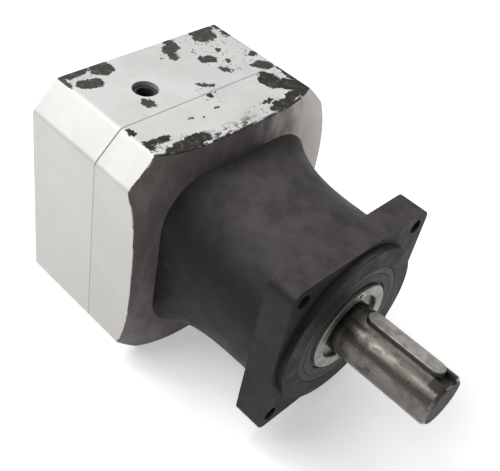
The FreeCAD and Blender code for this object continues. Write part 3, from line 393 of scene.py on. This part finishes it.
def painted_housing():
    """Dark paint on the casting; the rear flats and corner cuts are bare, with paint left on the top."""
    look = Look("painted_housing", 0.0, 0.15)
    x, y, z = look.axes()
    behind = shoulder_distance(look, x, y, z)
    covered = paint_on_top(look, y, z, behind)
    bare = all_of(look, machined_faces(look, y, z), chipped_edge(look, behind), opposite(look, covered))
    pale, pale_rough, pale_height = machined_metal(look, y, z)
    dark, dark_rough, dark_height = paint(look)
    pale = look.mix(pale, JOINT_DIRT, joint_line(look, x, z))
    dark = look.mix(paint_with_wear_and_light(look, dark, x, y, z), residue(look), covered)
    look.colour(look.mix(dark, pale, bare))
    look.metallic(look.math("MULTIPLY", bare, BARE_METALLIC))
    look.roughness(look.blend(dark_rough, pale_rough, bare))
    look.bump(look.blend(dark_height, look.math("MULTIPLY", pale_height, BARE_RELIEF), bare), 0.25)
    return look.material


def machined_faces(look, y, z):
    """1 on the four flats and the four corner cuts of the rear body."""
    corner = look.math("ADD", look.math("ABSOLUTE", y), look.math("ABSOLUTE", z))
    on_flat = look.ramp(reach(look, y, z), BODY_HALF - 0.75, BODY_HALF - 0.55)
    on_corner = look.ramp(corner, CORNER_SUM - 1.1, CORNER_SUM - 0.85)
    return any_of(look, on_flat, on_corner)


def chipped_edge(look, behind):
    """1 behind the edge of the shoulder, where the paint ends in small chips."""
    patchy = look.noise(7, 4, 0.65, shift=(1, 1, 6))
    chip = look.ramp(patchy, 0.4, 0.8, -0.1, 0.7)
    return look.ramp(look.math("SUBTRACT", behind, chip), -0.1, 0.15)


def paint_on_top(look, y, z, behind):
    """1 where paint is left on the top flat: patches, specks near the shoulder, a broken rim."""
    on_top = top_face(look, z, 0.5)
    grit = look.noise(2.6, 5, 0.7, stretch=(1, 2.2, 1))
    gaps = look.noise(6, 4, 0.7, shift=(2, 7, 7))
    in_middle = look.math("MULTIPLY", look.ramp(y, -34, -24), look.ramp(y, 18, 8))
    specks = all_of(look, on_top, look.ramp(behind, 14, 3), in_middle, look.ramp(grit, 0.47, 0.53))
    rim = all_of(look, on_top, look.ramp(behind, 2.2, 1.0), look.ramp(gaps, 0.38, 0.48))
    return any_of(look, left_paint(look, JOINT - MARK_REACH, 0), specks, rim)


def paint_with_wear_and_light(look, dark, x, y, z):
    """The paint with painted light where it faces up, a painted reflection on the shoulder, and rubbed
    flange edges.
    """
    rubbed = look.ramp(look.noise(2.0, 5, 0.7, shift=(4, 4, 2)), 0.60, 0.66)
    shoulder = look.ramp(x, SHOULDER_CROWN + 0.8, SHOULDER_CROWN + 0.1)
    # Painted light on the faces that look up.
    dark = look.mix(dark, PAINT_LIT_FROM_ABOVE, painted_light_from_above(look))
    # Painted reflection over the paint of the shoulder.
    dark = look.mix(dark, shoulder_reflection(look), shoulder)
    return look.mix(dark, PAINT_WORN, look.math("MULTIPLY", rubbed, flange_edges(look, x, y, z)))


def painted_light_from_above(look):
    """Painted light: a lighter, patchy colour on the painted faces that look up."""
    facing = look.add("ShaderNodeSeparateXYZ")
    look.put(facing.inputs[0], look.add("ShaderNodeNewGeometry").outputs["Normal"])
    upward = look.ramp(facing.outputs[2], 0.35, 1.0, 0.0, 0.55)
    cloud = look.ramp(look.noise(18, 4, 0.65, shift=(1, 9, 1)), 0.25, 0.65, 0.4, 1.0)
    return look.math("MULTIPLY", upward, cloud)


def shoulder_reflection(look):
    """Painted reflection on the shoulder: grey streaks, almost white towards the +Y side."""
    y = look.axes()[1]
    streak = look.noise(16, 4, 0.6, stretch=(1, 1, 2), shift=(3, 3, 3))
    side = look.math("ADD", y, look.ramp(streak, 0.3, 0.7, -12, 12))
    grey = look.mix(SHOULDER_SHEEN_GREY, SHOULDER_SHEEN_PALE, look.ramp(streak, 0.4, 0.7))
    return look.mix(grey, SHOULDER_REFLECTION_WHITE, look.ramp(side, 12, 70))


def joint_line(look, x, z):
    """Darkness of the joint between housing and adapter: strong on the corner cuts, faint on the flats."""
    line = look.ramp(look.math("ABSOLUTE", look.math("SUBTRACT", x, JOINT)), 0.1, 0.55, 1.0, 0.0)
    height = look.math("ABSOLUTE", z)
    on_cut = look.ramp(height, CUT_START - 4.5, CUT_START + 1.5, 0.1, 1.0)
    off_top = look.ramp(height, BODY_HALF - FACE_SKIN, BODY_HALF - 0.5, 0.6, 0.05)
    return all_of(look, line, on_cut, off_top)


def flange_edges(look, x, y, z):
    """1 close to the edges of the square output flange, where the paint is rubbed off."""
    rim = look.ramp(reach(look, y, z), FLANGE_HALF - 1.2, FLANGE_HALF - 0.3)
    front = look.ramp(look.math("ABSOLUTE", x), 1.4, 0.2)
    back = look.ramp(look.math("ABSOLUTE", look.math("ADD", x, FLANGE_THICKNESS)), 1.4, 0.2)
    return look.math("MULTIPLY", rim, any_of(look, front, back))


def residue(look):
    """Colour of paint and dirt left on bare metal, from black to olive brown."""
    tint = look.noise(5, 4, 0.7, shift=(6, 2, 2))
    return look.mix(RESIDUE_BLACK, RESIDUE_OLIVE, look.ramp(tint, 0.48, 0.72))


def hole_darkening(look, x, y):
    """1 inside the wrench access hole in the top face."""
    along = look.math("POWER", look.math("ADD", x, CLAMP_DEPTH), 2.0)
    across = look.math("POWER", look.math("ADD", y, CLAMP_OFFSET), 2.0)
    radius = look.math("SQRT", look.math("ADD", along, across))
    return look.ramp(radius, HOLE_MOUTH + 0.1, HOLE_MOUTH - 0.2)


def machined_aluminium():
    """The adapter plate: pale milled faces, dark paint left on top, dirt in the joint, darker inside the
    access hole.
    """
    look = Look("machined_aluminium", BARE_METALLIC)
    x, y, z = look.axes()
    pale, rough, height = machined_metal(look, y, z)
    # The paint left on top, and a darker colour inside the access hole.
    stains = any_of(look, left_paint(look, REAR_FACE, JOINT + MARK_REACH), hole_darkening(look, x, y))
    pale = look.mix(pale, JOINT_DIRT, joint_line(look, x, z))
    raised = look.math("MULTIPLY", stains, 0.35)
    look.colour(look.mix(pale, residue(look), stains))
    look.metallic(look.math("MULTIPLY", opposite(look, stains), BARE_METALLIC))
    look.roughness(look.math("ADD", rough, look.math("MULTIPLY", stains, 0.08)))
    look.bump(look.math("ADD", look.math("MULTIPLY", height, BARE_RELIEF), raised), 0.25)
    return look.material


def turned_surface(look, base, stain, rough_low, rough_high, grain, stains):
    """Steel turned about the gearbox axis: sets its relief, and returns its colour and roughness."""
    rings = look.noise(grain, 2, 0.6, stretch=(1, 90, 90))
    cloud = look.noise(9, 4, 0.6, shift=(3, 6, 2))
    spot = look.noise(4.5, 5, 0.65, stretch=(2.5, 1, 1), shift=(9, 1, 5))
    colour = look.mix(base, [c * 0.72 for c in base], look.ramp(cloud, 0.35, 0.7))
    colour = look.mix(colour, stain, look.ramp(spot, 0.55, 0.72, 0.0, stains))
    worn = look.ramp(cloud, 0.3, 0.7, rough_low, rough_high)
    rough = look.math("ADD", worn, look.ramp(spot, 0.5, 0.75, 0.0, 0.2))
    look.bump(look.math("ADD", look.math("MULTIPLY", rings, 0.5), look.math("MULTIPLY", spot, 0.2)), 0.05)
    return colour, rough


def turned_metal(name, base, rough_low, rough_high, grain, stains):
    """A plain turned part; grain is the width of its rings in millimetres."""
    look = Look(name, 1.0)
    colour, rough = turned_surface(look, base, BROWN_SPOT, rough_low, rough_high, grain, stains)
    look.colour(colour)
    look.roughness(rough)
    return look.material


def dark_patch_by_key(look, x, y, z):
    """1 on the ragged dark patch on top of the shaft, between the key and the end."""
    ragged = look.math("MULTIPLY", look.noise(4, 4, 0.7, shift=(4, 4, 8)), 5.0)
    from_key = look.ramp(look.math("ADD", x, ragged), SHAFT_END - 9.9, SHAFT_END - 7.9)
    before_end = look.ramp(x, SHAFT_END - 1.2, SHAFT_END - 2.2)
    near_key = look.ramp(look.math("ADD", look.math("ABSOLUTE", y), ragged), 15.0, 13.0)
    return all_of(look, from_key, before_end, near_key, look.ramp(z, 5, 10))


def shaft_steel():
    """The output shaft: worn ground steel, brown stains, a dark patch by the key, painted shade on the end
    face.
    """
    look = Look("shaft_steel", 1.0)
    x, y, z = look.axes()
    colour, rough = turned_surface(look, SHAFT, SHAFT_STAIN, 0.20, 0.34, 0.35, 0.8)
    key_patch = dark_patch_by_key(look, x, y, z)
    # Painted shade on the end face of the shaft.
    end_face_shade = look.ramp(x, SHAFT_END - 0.4, SHAFT_END - 0.1)
    darkened = any_of(look, key_patch, end_face_shade)
    look.colour(look.mix(look.mix(colour, SHAFT_END_SHADE, end_face_shade), KEY_PATCH_DARK, key_patch))
    look.metallic(look.ramp(darkened, 0.0, 1.0, 1.0, 0.1))
    look.roughness(look.math("ADD", rough, look.math("MULTIPLY", darkened, 0.5)))
    return look.material


def key_steel():
    """Drawn key steel, grey and dull, with lengthwise marks, and painted shade on its sides."""
    look = Look("key_steel", 1.0)
    drawn = look.noise(0.7, 3, 0.6, stretch=(30, 1, 1))
    cloud = look.noise(6, 4, 0.6)
    colour = look.mix((0.36, 0.345, 0.32), (0.24, 0.23, 0.205), look.ramp(cloud, 0.4, 0.7))
    colour = look.mix(colour, (0.15, 0.135, 0.115), look.ramp(drawn, 0.62, 0.78, 0.0, 0.5))
    _, y, z = look.axes()
    height = look.math("ADD", z, look.math("MULTIPLY", y, math.sin(KEY_TURN)))
    # Painted shade: the key's sides below its top are darkened.
    dirt = look.ramp(height, KEY_TOP - 0.1, KEY_TOP - 0.4)
    look.colour(look.mix(colour, (0.04, 0.036, 0.032), dirt))
    look.metallic(look.ramp(dirt, 0.0, 1.0, 1.0, 0.2))
    look.roughness(look.ramp(cloud, 0.3, 0.7, 0.36, 0.50))
    look.bump(drawn, 0.05)
    return look.material


def rubber(name, base, dust):
    """Matt black rubber with a film of dust."""
    look = Look(name, 0.0, 0.35)
    cloud = look.noise(5, 4, 0.65)
    grain = look.noise(0.5, 2, 0.5)
    look.colour(look.mix(base, dust, look.ramp(cloud, 0.45, 0.75, 0.0, 0.8)))
    look.roughness(look.ramp(cloud, 0.3, 0.7, 0.5, 0.7))
    look.bump(grain, 0.04)
    return look.material


def dark_cover():
    """The ring round the seal: turned, with the dark paint of the housing dulled by handling."""
    look = Look("cover", 0.0, 0.15)
    rings = look.noise(0.5, 2, 0.6, stretch=(60, 1, 1))
    cloud = look.noise(8, 4, 0.6)
    look.colour(look.mix((0.018, 0.0165, 0.016), (0.045, 0.042, 0.040), look.ramp(cloud, 0.45, 0.7)))
    look.roughness(look.ramp(cloud, 0.3, 0.7, 0.38, 0.52))
    look.bump(rings, 0.06)
    return look.material


def cast_bronze():
    """Bronze of the thrust washers, with darker wear."""
    look = Look("bronze", 1.0)
    cloud = look.noise(4, 4, 0.6)
    look.colour(look.mix((0.62, 0.40, 0.18), (0.38, 0.23, 0.10), look.ramp(cloud, 0.4, 0.7)))
    look.roughness(look.ramp(cloud, 0.3, 0.7, 0.28, 0.45))
    look.bump(look.noise(0.5, 2, 0.5, stretch=(1, 20, 20)), 0.03)
    return look.material


def oxide_steel(name, base, rough):
    """Black oxide or blued steel with rubbed high spots."""
    look = Look(name, 0.9)
    rub = look.noise(2.2, 5, 0.7)
    look.colour(look.mix(base, [c * 3.5 for c in base], look.ramp(rub, 0.58, 0.72, 0.0, 0.7)))
    look.roughness(look.ramp(rub, 0.3, 0.7, rough, rough + 0.15))
    look.bump(look.noise(0.4, 2, 0.5), 0.03)
    return look.material


def make_materials():
    """One finish for each material slot of the record."""
    return {
        "painted_housing": painted_housing(),
        "machined_aluminium": machined_aluminium(),
        "shaft_steel": shaft_steel(),
        "key_steel": key_steel(),
        "nut_steel": turned_metal("nut_steel", (0.32, 0.315, 0.295), 0.34, 0.5, 0.35, 0.5),
        "seal": rubber("seal", (0.022, 0.020, 0.019), (0.07, 0.066, 0.062)),
        "cover": dark_cover(),
        "rubber": rubber("rubber", (0.02, 0.02, 0.02), (0.05, 0.05, 0.05)),
        "black_steel": oxide_steel("black_steel", (0.05, 0.05, 0.052), 0.3),
        "spring_steel": oxide_steel("spring_steel", (0.08, 0.08, 0.095), 0.25),
        "bronze": cast_bronze(),
        "gear_steel": turned_metal("gear_steel", (0.52, 0.515, 0.50), 0.2, 0.34, 1.2, 0.3),
        "turned_steel": turned_metal("turned_steel", (0.50, 0.50, 0.49), 0.28, 0.4, 0.5, 0.3),
        "turned_aluminium": turned_metal("turned_aluminium", (0.66, 0.66, 0.65), 0.3, 0.42, 0.7, 0.2),
        "bearing_steel": turned_metal("bearing_steel", (0.60, 0.60, 0.60), 0.1, 0.2, 0.3, 0.15),
        "cage": turned_metal("cage", (0.40, 0.40, 0.40), 0.3, 0.45, 2.0, 0.3),
        "hub_steel": turned_metal("hub_steel", (0.42, 0.415, 0.40), 0.28, 0.42, 0.6, 0.5),
        "pin_steel": turned_metal("pin_steel", (0.56, 0.56, 0.55), 0.14, 0.26, 0.3, 0.2),
    }


def dress_nodes():
    """Give every CAD node the finish of its slot."""
    materials = make_materials()
    for part in frame["record"]["subparts"]:
        node = frame["nodes"][part["node"]]
        for slot in node.material_slots:
            slot.material = materials[part["material_slot"]]


# ------------------------------------------------------------------ floor, light and camera


def add_lamp(name, size, place, power):
    """A soft rectangular lamp that faces the gearbox."""
    data = bpy.data.lights.new(name, "AREA")
    data.shape = "RECTANGLE"
    data.size, data.size_y = size
    data.energy = power
    lamp = bpy.data.objects.new(name, data)
    bpy.context.scene.collection.objects.link(lamp)
    lamp.location = place
    lamp.rotation_euler = (Vector(place) - Vector(LAMPS_FACE)).to_track_quat("Z", "Y").to_euler()


def floor_paper():
    """White paper that glows a little, so that it stays white between the lamps."""
    look = Look("floor_paper", 0.0, 0.2)
    grain = look.noise(300, 2, 0.5)
    look.colour(look.mix((0.93, 0.93, 0.93), (0.96, 0.96, 0.96), grain))
    look.roughness(0.9)
    look.shader.inputs["Emission Color"].default_value = WHITE
    look.shader.inputs["Emission Strength"].default_value = FLOOR_GLOW
    return look.material


def make_floor():
    """A plain pale floor under the gearbox."""
    low = CAD_BOX[0].z
    corners = [(x * FLOOR_HALF, y * FLOOR_HALF, low) for x, y in ((-1, -1), (1, -1), (1, 1), (-1, 1))]
    mesh = bpy.data.meshes.new("floor")
    mesh.from_pydata(corners, [], [(0, 1, 2, 3)])
    mesh.materials.append(floor_paper())
    floor = bpy.data.objects.new("floor", mesh)
    bpy.context.scene.collection.objects.link(floor)


def make_light():
    """A key lamp high on the left, a broad one behind, two weaker ones on the left, and a dim white room."""
    for lamp in LAMPS:
        add_lamp(*lamp)
    world = bpy.data.worlds.new("room")
    bpy.context.scene.world = world
    world.use_nodes = True
    background = world.node_tree.nodes["Background"]
    background.inputs["Color"].default_value = WHITE
    background.inputs["Strength"].default_value = ROOM_LIGHT


def make_camera():
    """The camera stands high at the front left, turned a little about its own axis."""
    data = bpy.data.cameras.new("camera")
    data.sensor_width = CAMERA_SENSOR
    data.lens = CAMERA_LENS
    camera = bpy.data.objects.new("camera", data)
    bpy.context.scene.collection.objects.link(camera)
    heading = Matrix.Rotation(math.radians(CAMERA_HEADING - 90), 4, "Z")
    tilt = Matrix.Rotation(math.radians(90 - CAMERA_DOWN), 4, "X")
    turn = Matrix.Rotation(math.radians(CAMERA_TURN), 4, "Z")
    camera.matrix_world = Matrix.Translation(CAMERA_PLACE) @ heading @ tilt @ turn
    bpy.context.scene.camera = camera


bpy.context.scene.view_settings.view_transform = "Standard"
make_camera()
dress_nodes()
make_floor()
make_light()
